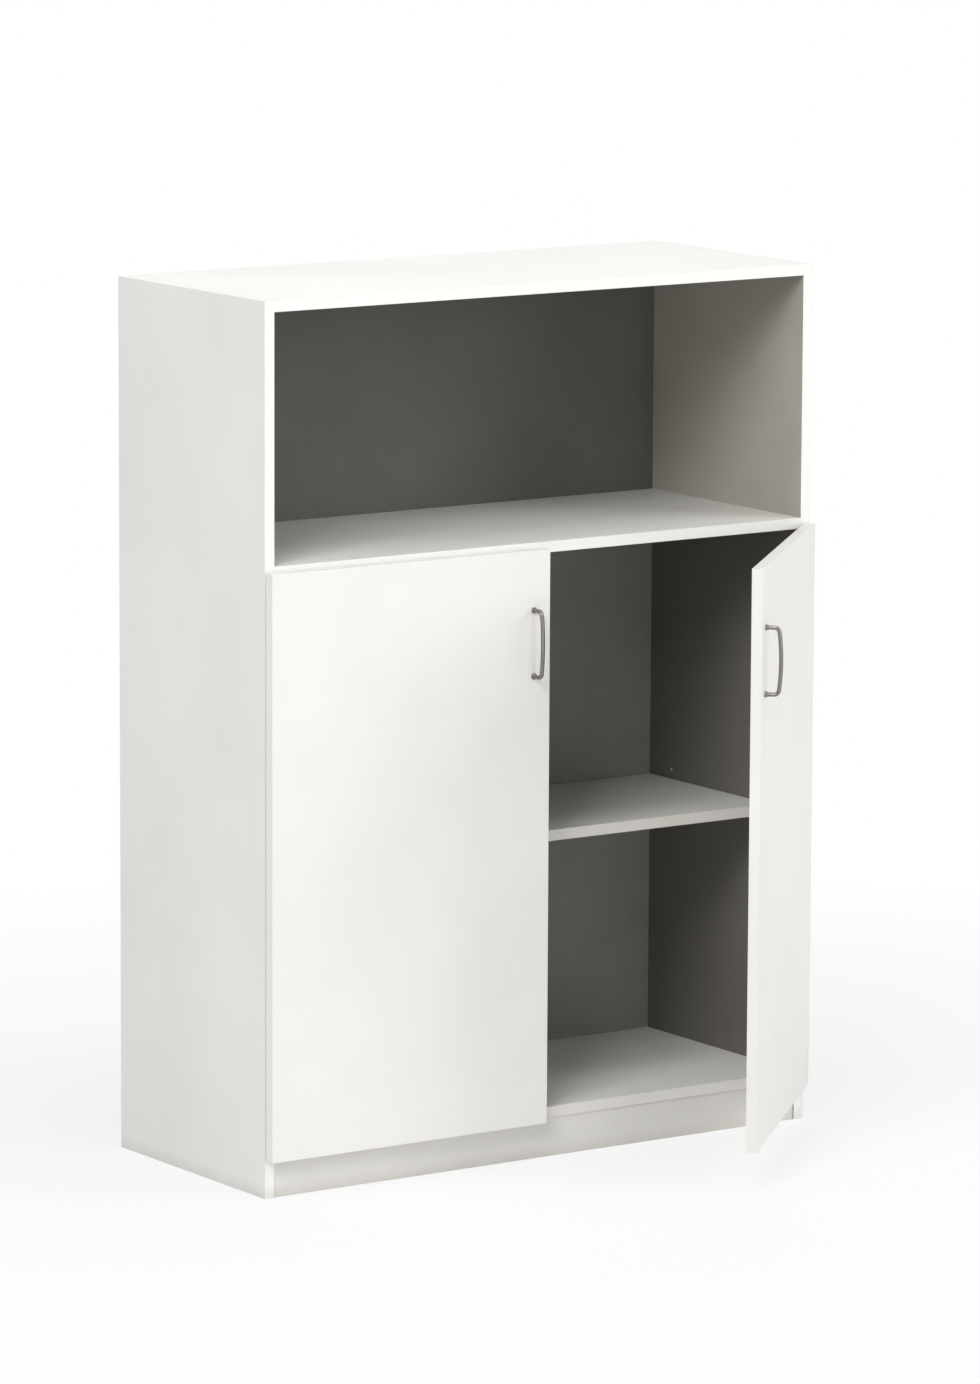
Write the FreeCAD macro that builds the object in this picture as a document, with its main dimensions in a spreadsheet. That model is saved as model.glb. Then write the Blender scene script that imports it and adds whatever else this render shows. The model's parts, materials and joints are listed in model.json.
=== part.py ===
"""Low bookcase cabinet: an open compartment over two hinged doors, built from 16 mm coated boards.

Millimetres and degrees. +X is the cabinet's right, +Y its back, +Z up. The origin is on the floor, at the
middle of the front plinth's underside. The left door is shut and the right one stands open.
"""

import FreeCAD, Part
import os
import re

import Sketcher

Vector = FreeCAD.Vector
Placement = FreeCAD.Placement
Rotation = FreeCAD.Rotation

# Every driving size: name, value, what it is
SIZES = (
    ("overall_width", 950, "over the side panels"),
    ("overall_height", 1280, "floor to top"),
    ("carcass_depth", 391, "side panels, front to rear"),
    ("board_thickness", 16, "carcass boards"),
    ("plinth_height", 58, "floor to the bottom panel"),
    ("plinth_setback", 2, "front plinth behind the carcass front"),
    ("rear_plinth_inset", 24, "rear plinth before the carcass rear"),
    ("middle_top", 906, "floor to the middle panel's upper face"),
    ("middle_lip", 8, "part of the middle panel's front edge above the doors"),
    ("back_thickness", 3, "back panel"),
    ("back_inset", 12, "groove for the back panel before the carcass rear"),
    ("groove_depth", 8, "groove for the back panel"),
    ("groove_slack", 0.2, "back panel to each side of its groove"),
    ("fit_gap", 0.3, "end play between pieces that fit together"),
    ("peg_slack", 0.05, "round pieces in their bores, on the radius"),
    ("shelf_thickness", 16, "loose shelves"),
    ("shelf_setback", 65, "shelves behind the carcass front"),
    ("shelf_rear_gap", 2, "shelves to the back panel"),
    ("shelf_end_gap", 1.5, "shelves to the panels beside them"),
    ("shelf_pin_height", 450.5, "axes of the shelf pins in use"),
    ("pin_row_pitch", 32, "between rows of shelf pin bores"),
    ("pin_rows", 3, "rows of shelf pin bores, the middle one in use"),
    ("pin_column_front", 112, "front column of bores behind the carcass front"),
    ("pin_column_rear", 56, "rear column of bores before the back panel"),
    ("pin_stem_radius", 2.45, "shelf pin's stem"),
    ("pin_stem_gap", 2, "between two stems in one bore of the partition"),
    ("pin_collar", 1.2, "shelf pin's upright plate"),
    ("pin_half_width", 4, "shelf pin's plates"),
    ("pin_below", 5, "upright plate below the stem's axis"),
    ("pin_above", 2.2, "tongue's upper face above the stem's axis"),
    ("pin_tongue", 1.8, "tongue's thickness"),
    ("pin_tongue_length", 9, "tongue under the shelf"),
    ("door_thickness", 16, "doors"),
    ("door_gap", 2, "shut door to the carcass front"),
    ("side_reveal", 1, "door's outer edge to the side panel's outer face"),
    ("centre_gap", 3, "between the shut doors"),
    ("door_drop", 3, "doors below the plinth's top"),
    ("left_door_angle", 0, "degrees the left door stands open"),
    ("right_door_angle", 44.3, "degrees the right door stands open"),
    ("handle_edge", 27.5, "handle's axis to the door's free edge"),
    ("handle_drop", 87, "handle's upper leg below the door's top"),
    ("handle_span", 96, "between the legs' axes"),
    ("handle_height", 23, "door's face to the bar's axis at its middle"),
    ("handle_arch_radius", 330, "bar's axis between the bends"),
    ("handle_bend_radius", 7, "bar's axis at the bends"),
    ("handle_bar_radius", 3, "bar and legs"),
    ("handle_foot_radius", 4.6, "collar where a leg meets the door"),
    ("handle_foot_height", 2, "collar of a leg"),
    ("handle_thread_radius", 1.9, "screw in a leg"),
    ("handle_thread_depth", 8, "screw in a leg"),
    ("handle_head_radius", 4, "handle screw's head"),
    ("handle_head", 1.8, "handle screw's head height"),
    ("hinge_inset", 96, "cup's centre to the door's upper or lower edge"),
    ("cup_edge", 3.5, "cup bore to the door's edge"),
    ("cup_bore_radius", 17.5, "cup bore in the door"),
    ("cup_bore_depth", 13, "cup bore in the door"),
    ("cup_wall", 0.9, "cup's wall"),
    ("cup_floor", 0.7, "cup's floor"),
    ("cup_rim_radius", 19, "round part of the cup's flange"),
    ("cup_flange", 0.9, "flange's thickness"),
    ("cup_ear_radius", 5.5, "flange's ears"),
    ("cup_ear_offset", 9.5, "ears' centres beyond the cup's centre"),
    ("cup_ear_spread", 22.5, "ears' centres above and below the cup's centre"),
    ("cup_cheek_end", 6.5, "cheeks' inner end before the cup's centre"),
    ("cup_cheek_front", 3.2, "cheeks' front end, before the carcass front"),
    ("pin_seat", 0.8, "cup pins in the cheeks"),
    ("outer_arm_pin_u", 5.2, "outer link's pin in the arm, from the side panel"),
    ("outer_arm_pin_v", -12.3, "the same pin, before the carcass front"),
    ("inner_arm_pin_u", 11.2, "inner link's pin in the arm"),
    ("inner_arm_pin_v", 4.4, "the same pin"),
    ("outer_cup_pin_u", -8, "outer link's pin in the cup, door shut"),
    ("outer_cup_pin_v", 4.9, "the same pin"),
    ("inner_cup_pin_u", -3.4, "inner link's pins in the cup, door shut"),
    ("inner_cup_pin_v", 10.3, "the same pins"),
    ("inner_link_end_u", -4.56, "inner link's free end, door shut"),
    ("inner_link_end_v", 11.42, "the same end"),
    ("outer_link_share", -0.304, "outer link's turn for each degree of its door"),
    ("inner_link_share", -0.121, "inner link's turn for each degree of its door"),
    ("hinge_pin_radius", 0.9, "pins"),
    ("link_half_width", 5, "links, from the hinge's middle"),
    ("link_half_thickness", 1, "links' metal"),
    ("link_eye_radius", 1.5, "eyes round the pins"),
    ("arm_wall", 1, "arm's metal"),
    ("arm_nose_radius", 3, "arm round its pins"),
    ("arm_back_front", -6, "front end of the arm's back, before the carcass front"),
    ("arm_reach", 66, "arm's rear end behind the carcass front"),
    ("plate_thickness", 1.9, "mounting plate's base"),
    ("plate_half_width", 9, "base, from the hinge's middle"),
    ("plate_front", 24, "base's front end behind the carcass front"),
    ("plate_rear", 62, "base's rear end"),
    ("plate_screw_line", 37, "base's screws behind the carcass front"),
    ("plate_screw_spread", 16, "base's screws above and below the hinge's middle"),
    ("plate_wing_radius", 6.5, "base round its screws"),
    ("rail_front", 28, "rail on the base"),
    ("rail_rear", 60, "the same rail"),
    ("screw_radius", 1.75, "hinge screws, across the corners of the hidden part"),
    ("screw_length", 10, "hinge screws in the boards"),
    ("screw_head_radius", 3.4, "hinge screws' heads"),
    ("screw_head", 1.1, "hinge screws' head height"),
    ("arm_screw_line", 50, "clamp screw behind the carcass front"),
    ("arm_screw_depth", 8, "clamp screw in the rail"),
    ("cam_radius", 7.5, "cam locks"),
    ("cam_depth", 12.4, "cam locks"),
    ("cam_reach", 34, "cam lock's axis to the board's end"),
    ("cam_slot", 6.4, "slot in a cam lock for its bolt"),
    ("bolt_radius", 2.6, "cam bolts, across the corners"),
    ("bolt_depth", 10.5, "cam bolts in the side panels"),
    ("joint_inset", 60, "cam locks and dowels to the board's front and rear edges"),
    ("dowel_radius", 4, "dowels, across the corners"),
    ("dowel_in_face", 9, "dowels in a board's face"),
    ("dowel_in_edge", 20, "dowels in a board's edge"),
    ("bore_overrun", 0.3, "bores deeper than what they hold"),
    ("overrun", 5, "cuts past the surface that they start from"),
)
NAMES = {name for name, value, note in SIZES}

# Bends of the links' metal: shares along and across the line between the link's two ends
OUTER_BEND_SHARES = ((0, 0), (0.346, -0.283), (0.652, -0.233), (0.888, -0.252), (1.006, -0.144), (1, 0))
INNER_BEND_SHARES = ((0, 0), (-0.031, -0.115), (0.026, -0.229), (0.201, -0.31), (0.476, -0.257), (1, 0))

# Small round things have few sides, because there are many of them: hidden pegs and shanks; pins, bars and
# screw heads; the bores and eyes that a pin stands or turns in; and the cups with their bores
PEG_SIDES = 6
PIN_SIDES = 8
EYE_SIDES = 12
CUP_SIDES = 24

# Planes and spans that several pieces share
FRONT = "(-plinth_setback - board_thickness / 2)"
REAR = f"({FRONT} + carcass_depth)"
HALF_BAY = "(overall_width / 2 - board_thickness)"
HALF_BOARD = "(board_thickness / 2)"
BACK_FRONT = f"({REAR} - back_inset - groove_slack - back_thickness)"
BOTTOM_TOP = "(plinth_height + board_thickness)"
MIDDLE_UNDER = "(middle_top - board_thickness)"
TOP_UNDER = "(overall_height - board_thickness)"
DOOR_LOW = "(plinth_height - door_drop)"
DOOR_TOP = "(middle_top - middle_lip)"
DOOR_INSIDE = f"({FRONT} - door_gap)"
DOOR_OUTSIDE = f"({DOOR_INSIDE} - door_thickness)"
SHELF_UNDER = "(shelf_pin_height + pin_above)"
STEM = "((board_thickness - pin_stem_gap) / 2)"
COLUMNS = (f"({FRONT} + pin_column_front)", f"({BACK_FRONT} - pin_column_rear)")
JOINT_LINES = (f"({FRONT} + joint_inset)", f"({BACK_FRONT} - joint_inset)")
HINGE_HEIGHTS = (f"({DOOR_LOW} + hinge_inset)", f"({DOOR_TOP} - hinge_inset)")
CUP_CENTRE = "(side_reveal - board_thickness + cup_edge + cup_bore_radius)"
ARM_INNER = "(link_half_width + fit_gap)"
ARM_OUTER = f"({ARM_INNER} + arm_wall)"
ARM_TOP = "(inner_arm_pin_u + arm_nose_radius)"
RAIL_TOP = f"({ARM_TOP} - arm_wall)"
CHEEK = f"({ARM_OUTER} + fit_gap)"
CUP_RADIUS = "(cup_bore_radius - peg_slack)"
CUP_END = "(door_gap + cup_bore_depth - bore_overrun)"
FLANGE_FACE = "(door_gap - cup_flange)"
BOLT_BORE = "bolt_radius + peg_slack"
DOWEL_BORE = "dowel_radius + peg_slack"
STEM_BORE = "pin_stem_radius + peg_slack"
SHANK_BORE = "screw_radius + peg_slack"
EAR_LINE = f"({CUP_CENTRE} + cup_ear_offset)"

ALONG_X = (Vector(0, 1, 0), 90)
AGAINST_X = (Vector(0, 1, 0), -90)
ALONG_Y = (Vector(1, 0, 0), -90)
AGAINST_Y = (Vector(1, 0, 0), 90)
ALONG_Z = (Vector(0, 0, 1), 0)
AGAINST_Z = (Vector(1, 0, 0), 180)

doc = FreeCAD.newDocument("bookcase_cabinet")
sheet = doc.addObject("Spreadsheet::Sheet", "sizes")
for row, (name, value, note) in enumerate(SIZES, start=1):
    sheet.set(f"A{row}", name)
    sheet.set(f"B{row}", str(value))
    sheet.set(f"C{row}", note)
    sheet.setAlias(f"B{row}", name)
doc.recompute()

nodes = []


def bind(thing, **texts):
    """Ties each property of a thing to an expression in the sheet's sizes."""
    for name, text in texts.items():
        text = re.sub(r"[a-z_]+", lambda word: ("sizes." if word[0] in NAMES else "") + word[0], str(text))
        thing.setExpression(name.replace("__", "."), text)
    return thing


def put(thing, x, y, z, turn=ALONG_Z):
    """Places a thing, turned by a fixed angle about an axis."""
    thing.Placement = Placement(Vector(), Rotation(*turn))
    return bind(thing, Placement__Base__x=x, Placement__Base__y=y, Placement__Base__z=z)


def keep(thing, label):
    """Marks a thing as one node of the cabinet."""
    thing.Label = label
    nodes.append(thing)
    return thing


def add(kind, home=doc, **texts):
    """A new feature in the document or in a body, with its sizes."""
    make = home.addObject if home is doc else home.newObject
    return bind(make(kind, kind.split("::")[1]), **texts)


# Pieces and cuts of loose solids


def block(x, y, z):
    """A box between pairs of planes."""
    box = add("Part::Box", Length=f"{x[1]} - {x[0]}", Width=f"{y[1]} - {y[0]}", Height=f"{z[1]} - {z[0]}")
    return put(box, x[0], y[0], z[0])


def peg(radius, length, x, y, z, turn=ALONG_Z, sides=PEG_SIDES):
    prism = add("Part::Prism", Circumradius=radius, Height=length)
    prism.Polygon = sides
    return put(prism, x, y, z, turn)


def fuse(*pieces):
    whole = add("Part::MultiFuse")
    whole.Shapes = list(pieces)
    return whole


def cut(base, *tools):
    rest = add("Part::Cut")
    rest.Base = base
    rest.Tool = fuse(*tools) if len(tools) > 1 else tools[0]
    return rest


def again(master, x=0, y=0, z=0, turn=ALONG_Z):
    """The same piece at another place."""
    link = doc.addObject("App::Link", "again")
    link.LinkedObject = master
    link.LinkTransform = True
    return put(link, x, y, z, turn)


def group(label, pieces):
    """One node of separate pieces that move together."""
    node = add("Part::Compound")
    node.Links = pieces
    put(node, 0, 0, 0)
    return keep(node, label)


# Boards


def board(label, x, y, z):
    """A board between pairs of planes."""
    body = add("PartDesign::Body")
    planes = {feature.Role: feature for feature in body.Origin.OriginFeatures}
    sketch = add("Sketcher::SketchObject", body, AttachmentOffset__Base__z=z[0])
    sketch.AttachmentSupport = [(planes["XY_Plane"], "")]
    sketch.MapMode = "FlatFace"
    outline(sketch, [(x[0], y[0]), (x[1], y[0]), (x[1], y[1]), (x[0], y[1])], closed=True)
    pad = add("PartDesign::Pad", body, Length=f"{z[1]} - {z[0]}")
    pad.Profile = sketch
    put(body, 0, 0, 0)
    return keep(body, label)


def outline(sketch, points, closed):
    """Straight lines through points that are held by their coordinates."""
    ends = len(points) if closed else len(points) - 1
    for index in range(ends):
        start = Vector(index, index % 2, 0)
        finish = Vector(index + 1, (index + 1) % 2, 0)
        sketch.addGeometry(Part.LineSegment(start, finish), False)
    for index in range(1, ends):
        sketch.addConstraint(Sketcher.Constraint("Coincident", index - 1, 2, index, 1))
    if closed:
        sketch.addConstraint(Sketcher.Constraint("Coincident", ends - 1, 2, 0, 1))
    for index, point in enumerate(points):
        where = (index, 1) if index < ends else (ends - 1, 2)
        for kind, text in zip(("DistanceX", "DistanceY"), point):
            added = sketch.addConstraint(Sketcher.Constraint(kind, -1, 1, *where, 1.0))
            sketch.renameConstraint(added, f"held{added}")
            bind(sketch, **{f"Constraints__held{added}": text})


def round_bore(body, radius, length, x, y, z, turn):
    """A bore into a board."""
    hole = add("PartDesign::SubtractiveCylinder", body, Radius=radius, Height=length)
    return put(hole, x, y, z, turn)


def bore(body, radius, length, x, y, z, turn, sides=PEG_SIDES):
    """A bore into a board, for a peg of as many sides or of half as many."""
    hole = add("PartDesign::SubtractivePrism", body, Circumradius=radius, Height=length)
    hole.Polygon = sides
    return put(hole, x, y, z, turn)


def groove(body, x, y, z):
    """A square cut between pairs of planes."""
    box = add("PartDesign::SubtractiveBox", body)
    bind(box, Length=f"{x[1]} - {x[0]}", Width=f"{y[1]} - {y[0]}", Height=f"{z[1]} - {z[0]}")
    return put(box, x[0], y[0], z[0])


def repeat_upward(body, hole, pitch, count):
    """The same bore in rows above the first."""
    rows = add("PartDesign::LinearPattern", body)
    rows.Originals = [hole]
    axes = {feature.Role: feature for feature in body.Origin.OriginFeatures}
    rows.Direction = (axes["Z_Axis"], [""])
    rows.Mode = "Spacing"
    bind(rows, Offset=pitch, Occurrences=count)
    body.Tip = rows


def on_side(side, text):
    """A plane on the right, or its mirror image on the left."""
    return text if side > 0 else f"(-{text})"


def span(side, near, far):
    """Two planes on the right, or their mirror images, in rising order."""
    return (near, far) if side > 0 else (f"(-{far})", f"(-{near})")


SIDES = {"left": -1, "right": 1}
FULL_BAY = (f"(-{HALF_BAY})", HALF_BAY)
ABOUT_MIDDLE = (f"(-{HALF_BOARD})", HALF_BOARD)
BACK_GROOVE = (f"({BACK_FRONT} - groove_slack)", f"({REAR} - back_inset)")
BACK_REACH = "(groove_depth - fit_gap)"
FIRST_ROW = "(shelf_pin_height - pin_row_pitch)"
BOTTOM_MIDDLE = f"(plinth_height + {HALF_BOARD})"
MIDDLE_MIDDLE = f"(middle_top - {HALF_BOARD})"
TOP_MIDDLE = f"(overall_height - {HALF_BOARD})"
REAR_PLINTH = (f"({REAR} - rear_plinth_inset - board_thickness)", f"({REAR} - rear_plinth_inset)")
REAR_PLINTH_MIDDLE = f"({REAR} - rear_plinth_inset - {HALF_BOARD})"
PLINTH_MIDDLE = "(plinth_height / 2)"

# Fixed boards, and the back in its grooves
top_panel = board("top_panel", FULL_BAY, (FRONT, REAR), (TOP_UNDER, "overall_height"))
middle_panel = board("middle_panel", FULL_BAY, (FRONT, BACK_FRONT), (MIDDLE_UNDER, "middle_top"))
bottom_panel = board("bottom_panel", FULL_BAY, (FRONT, REAR), ("plinth_height", BOTTOM_TOP))
partition = board("centre_partition", ABOUT_MIDDLE, (FRONT, BACK_FRONT), (BOTTOM_TOP, MIDDLE_UNDER))
plinth_front = board("plinth_front", FULL_BAY, ABOUT_MIDDLE, ("0", "plinth_height"))
plinth_rear = board("plinth_rear", FULL_BAY, REAR_PLINTH, ("0", "plinth_height"))
board(
    "back_panel",
    (f"(-{HALF_BAY} - {BACK_REACH})", f"({HALF_BAY} + {BACK_REACH})"),
    (BACK_FRONT, f"({BACK_FRONT} + back_thickness)"),
    (f"({BOTTOM_TOP} - {BACK_REACH})", f"({TOP_UNDER} + {BACK_REACH})"),
)
groove(top_panel, FULL_BAY, BACK_GROOVE, (TOP_UNDER, f"({TOP_UNDER} + groove_depth)"))
groove(bottom_panel, FULL_BAY, BACK_GROOVE, (f"({BOTTOM_TOP} - groove_depth)", BOTTOM_TOP))

# Side panels
side_panels = {}
for name, side in SIDES.items():
    skins = span(side, HALF_BAY, "(overall_width / 2)")
    panel = board(f"side_panel_{name}", skins, (FRONT, REAR), ("0", "overall_height"))
    groove(
        panel,
        span(side, HALF_BAY, f"({HALF_BAY} + groove_depth)"),
        BACK_GROOVE,
        (f"({BOTTOM_TOP} - groove_depth)", f"({TOP_UNDER} + groove_depth)"),
    )
    side_panels[side] = panel

# Cam locks and bolts at the ends of the top and bottom panels, dowels at the other joints
cam = cut(
    peg("cam_radius", "cam_depth", 0, 0, 0, sides=EYE_SIDES),
    block(
        ("0", "(cam_radius + overrun)"),
        ("(-cam_slot / 2)", "(cam_slot / 2)"),
        ("(-overrun)", "(cam_depth + overrun)"),
    ),
)
bolt = peg("bolt_radius", "cam_reach + bolt_depth", 0, 0, 0)
dowel = peg("dowel_radius", "dowel_in_edge + dowel_in_face", 0, 0, 0)
cams = []
bolts = []
dowels = []


def bolt_up(panel, under, middle, side, line):
    """One cam lock at a panel's end, with the bolt that it draws in."""
    into, out = (ALONG_X, AGAINST_X) if side > 0 else (AGAINST_X, ALONG_X)
    face = on_side(side, HALF_BAY)
    centre = on_side(side, f"({HALF_BAY} - cam_reach)")
    bore(side_panels[side], BOLT_BORE, "bolt_depth + bore_overrun", face, line, middle, into)
    bore(panel, BOLT_BORE, "cam_reach", face, line, middle, out)
    bore(panel, "cam_radius + peg_slack", "cam_depth + bore_overrun", centre, line, under, ALONG_Z, EYE_SIDES)
    cams.append(again(cam, centre, line, under, ALONG_Z if side > 0 else (Vector(0, 0, 1), 180)))
    bolts.append(again(bolt, centre, line, middle, into))


def dowel_across(faced, edged, side, line, level):
    """One dowel between a side panel's face and a board's end."""
    into, out = (ALONG_X, AGAINST_X) if side > 0 else (AGAINST_X, ALONG_X)
    face = on_side(side, HALF_BAY)
    bore(faced, DOWEL_BORE, "dowel_in_face + bore_overrun", face, line, level, into)
    bore(edged, DOWEL_BORE, "dowel_in_edge + bore_overrun", face, line, level, out)
    dowels.append(again(dowel, on_side(side, f"({HALF_BAY} - dowel_in_edge)"), line, level, into))


def dowel_upright(faced, edged, line, level, up):
    """One dowel between a panel's face and the partition's end."""
    into, out = (ALONG_Z, AGAINST_Z) if up else (AGAINST_Z, ALONG_Z)
    bore(faced, DOWEL_BORE, "dowel_in_face + bore_overrun", 0, line, level, into)
    bore(edged, DOWEL_BORE, "dowel_in_edge + bore_overrun", 0, line, level, out)
    start = f"({level} - dowel_in_edge)" if up else f"({level} + dowel_in_edge)"
    dowels.append(again(dowel, 0, line, start, into))


for side in SIDES.values():
    for line in JOINT_LINES:
        bolt_up(top_panel, TOP_UNDER, TOP_MIDDLE, side, line)
        bolt_up(bottom_panel, "plinth_height", BOTTOM_MIDDLE, side, line)
        dowel_across(side_panels[side], middle_panel, side, line, MIDDLE_MIDDLE)
    dowel_across(side_panels[side], plinth_front, side, 0, PLINTH_MIDDLE)
    dowel_across(side_panels[side], plinth_rear, side, REAR_PLINTH_MIDDLE, PLINTH_MIDDLE)
for line in JOINT_LINES:
    dowel_upright(bottom_panel, partition, line, BOTTOM_TOP, up=False)
    dowel_upright(middle_panel, partition, line, MIDDLE_UNDER, up=True)

group("cam_locks", cams)
group("cam_bolts", bolts)
group("dowels", dowels)

# Loose shelves on pins. The bores in the partition go through and serve both bays; the lowest row in the side
# panels is left round, for what else is pinned there
pin = fuse(
    peg("pin_stem_radius", STEM, 0, 0, 0, AGAINST_X),
    block(("0", "pin_collar"), ("(-pin_half_width)", "pin_half_width"), ("(-pin_below)", "pin_above")),
    block(
        ("0", "(pin_collar + pin_tongue_length)"),
        ("(-pin_half_width)", "pin_half_width"),
        ("(pin_above - pin_tongue)", "pin_above"),
    ),
)
pins = []
for line in COLUMNS:
    through = bore(
        partition, STEM_BORE, "board_thickness + 2 * overrun",
        f"(-{HALF_BOARD} - overrun)", line, FIRST_ROW, ALONG_X, EYE_SIDES,
    )
    repeat_upward(partition, through, "pin_row_pitch", "pin_rows")
    for side, panel in side_panels.items():
        into = ALONG_X if side > 0 else AGAINST_X
        face = on_side(side, HALF_BAY)
        depth = f"{STEM} + bore_overrun"
        round_bore(panel, STEM_BORE, depth, face, line, FIRST_ROW, into)
        blind = bore(panel, STEM_BORE, depth, face, line, "shelf_pin_height", into, EYE_SIDES)
        repeat_upward(panel, blind, "pin_row_pitch", "pin_rows - 1")
        low, high = span(side, HALF_BOARD, HALF_BAY)
        pins.append(again(pin, low, line, "shelf_pin_height"))
        pins.append(again(pin, high, line, "shelf_pin_height", (Vector(0, 0, 1), 180)))
group("shelf_pins", pins)
for name, side in SIDES.items():
    board(
        f"shelf_{name}",
        span(side, f"({HALF_BOARD} + shelf_end_gap)", f"({HALF_BAY} - shelf_end_gap)"),
        (f"({FRONT} + shelf_setback)", f"({BACK_FRONT} - shelf_rear_gap)"),
        (SHELF_UNDER, f"({SHELF_UNDER} + shelf_thickness)"),
    )

# Doors, bored for cups and handles
HANDLE_FOOT = f"({DOOR_TOP} - handle_drop - handle_span)"
HANDLE_LEGS = ("0", "handle_span")
HANDLE_LINE = "(centre_gap / 2 + handle_edge)"
SHANK_DEPTH = "screw_length + bore_overrun"
doors = {}
for name, side in SIDES.items():
    door = board(
        f"{name}_door",
        span(side, "(centre_gap / 2)", "(overall_width / 2 - side_reveal)"),
        (DOOR_OUTSIDE, DOOR_INSIDE),
        (DOOR_LOW, DOOR_TOP),
    )
    for height in HINGE_HEIGHTS:
        centre = on_side(side, f"({HALF_BAY} - {CUP_CENTRE})")
        ears = on_side(side, f"({HALF_BAY} - {EAR_LINE})")
        bore(door, "cup_bore_radius", "cup_bore_depth", centre, DOOR_INSIDE, height, AGAINST_Y, CUP_SIDES)
        for sign in ("-", "+"):
            level = f"({height} {sign} cup_ear_spread)"
            bore(door, SHANK_BORE, SHANK_DEPTH, ears, DOOR_INSIDE, level, AGAINST_Y)
            level = f"({height} {sign} plate_screw_spread)"
            into = ALONG_X if side > 0 else AGAINST_X
            line = f"({FRONT} + plate_screw_line)"
            bore(side_panels[side], SHANK_BORE, SHANK_DEPTH, on_side(side, HALF_BAY), line, level, into)
    for leg in HANDLE_LEGS:
        bore(
            door, "handle_thread_radius + peg_slack", "door_thickness + 2 * overrun",
            on_side(side, HANDLE_LINE), f"({DOOR_INSIDE} + overrun)", f"({HANDLE_FOOT} + {leg})", AGAINST_Y,
        )
    doors[side] = door

# Bow handle: two legs with collars, tight bends, and a grip that rises a little to its middle, eight-sided
# with a flat face outward. It stands out along -Y
ARCH_SINE = "((handle_span / 2 - handle_bend_radius) / (handle_arch_radius - handle_bend_radius))"
ARCH_ANGLE = f"asin({ARCH_SINE})"
LEG_LENGTH = (
    f"(handle_height - handle_arch_radius * (1 - cos({ARCH_ANGLE})) - handle_bend_radius * cos({ARCH_ANGLE}))"
)
UPWARD = Vector(0, 0, 1)
RIGHTWARD = Vector(1, 0, 0)


def section(y, z, turn):
    """The bar's outline across its axis."""
    ring = add("Part::RegularPolygon", Circumradius="handle_bar_radius")
    ring.Polygon = PIN_SIDES
    return put(ring, 0, y, z, turn)


def bend(angle, start, centre):
    """A piece of the bar bent from an outline round a centre."""
    piece = add("Part::Revolution", Angle=angle, Base__y=centre[0], Base__z=centre[1])
    piece.Source = start
    piece.Axis = RIGHTWARD
    piece.Solid = True
    return piece


FLAT_OUT = (UPWARD, 180 / PIN_SIDES)
LEG_TURN = (Rotation(*AGAINST_Y) * Rotation(*FLAT_OUT),)
legs = []
for leg in HANDLE_LEGS:
    legs.append(peg("handle_foot_radius", "handle_foot_height", 0, 0, leg, LEG_TURN, PIN_SIDES))
    legs.append(peg("handle_bar_radius", LEG_LENGTH, 0, 0, leg, LEG_TURN, PIN_SIDES))
BEND_ANGLE = f"acos({ARCH_SINE})"
LOW_BEND = (f"-{LEG_LENGTH}", "handle_bend_radius")
HIGH_BEND = (f"-{LEG_LENGTH}", "handle_span - handle_bend_radius")
ARCH_CENTRE = ("handle_arch_radius - handle_height", "handle_span / 2")
crown = section("-handle_height", "handle_span / 2", FLAT_OUT)
bends = [
    bend(f"-{BEND_ANGLE}", section(LOW_BEND[0], HANDLE_LEGS[0], LEG_TURN), LOW_BEND),
    bend(BEND_ANGLE, section(HIGH_BEND[0], HANDLE_LEGS[1], LEG_TURN), HIGH_BEND),
    bend(ARCH_ANGLE, crown, ARCH_CENTRE),
    bend(f"-{ARCH_ANGLE}", crown, ARCH_CENTRE),
]
THREADED = "handle_thread_depth + bore_overrun"
handle = cut(
    fuse(*legs, *bends),
    *[peg("handle_thread_radius + peg_slack", THREADED, 0, 0, leg, AGAINST_Y) for leg in HANDLE_LEGS],
)
handle_screw = fuse(
    peg("handle_head_radius", "handle_head", 0, 0, 0, ALONG_Y, sides=PIN_SIDES),
    peg("handle_thread_radius", "door_thickness + handle_thread_depth", 0, 0, 0, AGAINST_Y),
)

# Concealed hinge, made once. Its X runs from the side panel's inner face into the cabinet, its Y forward from
# the carcass front, and its Z is up from its own middle
A_OUTER = ("outer_arm_pin_u", "outer_arm_pin_v")
A_INNER = ("inner_arm_pin_u", "inner_arm_pin_v")
C_OUTER = ("outer_cup_pin_u", "outer_cup_pin_v")
C_INNER = ("inner_cup_pin_u", "inner_cup_pin_v")


def across(half_length, radius, at, sides):
    """A pin, bore or eye across the hinge, along its Z."""
    return peg(radius, f"2 * {half_length}", *at, f"-{half_length}", sides=sides)


def profile(points, closed):
    sketch = doc.addObject("Sketcher::SketchObject", "profile")
    outline(sketch, points, closed)
    return sketch


def strip_of(source, half_width):
    """A flat profile drawn out to both sides."""
    solid = add("Part::Extrusion", LengthFwd=f"2 * {half_width}")
    solid.Base = source
    solid.DirMode = "Custom"
    solid.Dir = UPWARD
    solid.Symmetric = True
    solid.Solid = True
    return solid


def screw(length, x, y, z, turn, turned_back):
    """A screw with its head outside the plane where it starts."""
    return fuse(
        peg("screw_head_radius", "screw_head", x, y, z, turn, sides=PIN_SIDES),
        peg("screw_radius", length, x, y, z, turned_back),
    )


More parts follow.
